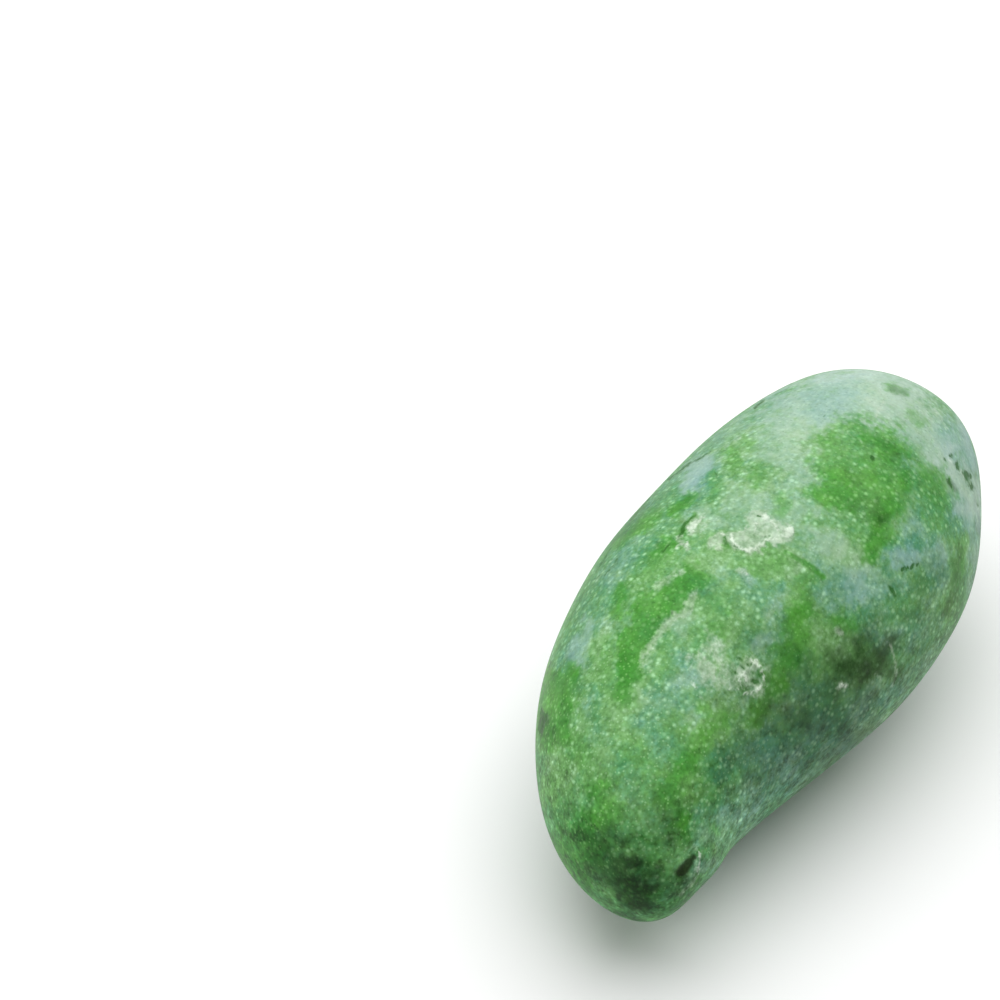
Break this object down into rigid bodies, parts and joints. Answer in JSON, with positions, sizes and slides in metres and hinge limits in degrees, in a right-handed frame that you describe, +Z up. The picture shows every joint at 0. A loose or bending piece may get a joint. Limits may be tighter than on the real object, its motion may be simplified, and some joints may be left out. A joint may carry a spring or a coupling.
{
  "type": "mango",
  "caption": "Whole green mango lying on one cheek, blunt at the stem end and narrowed above a beak scar, with a dry stalk stub.",
  "frame": {"origin": "on the surface it lies on, under the middle of the fruit's bounding box", "axes": "+X along the fruit towards the stem end, +Y towards its rounded back with the belly and beak scar on -Y, +Z up"},
  "size_m": [0.1564, 0.077, 0.0677],
  "materials": {
    "mango_skin": "waxy green skin with a pale bloom, part rubbed bright, with light specks and corky scars",
    "dry_stalk": "dry dark brown fibre"
  },
  "bodies": {
    "root": {"fruit": "mango_skin", "stem_stub": "dry_stalk"}
  },
  "joints": []
}
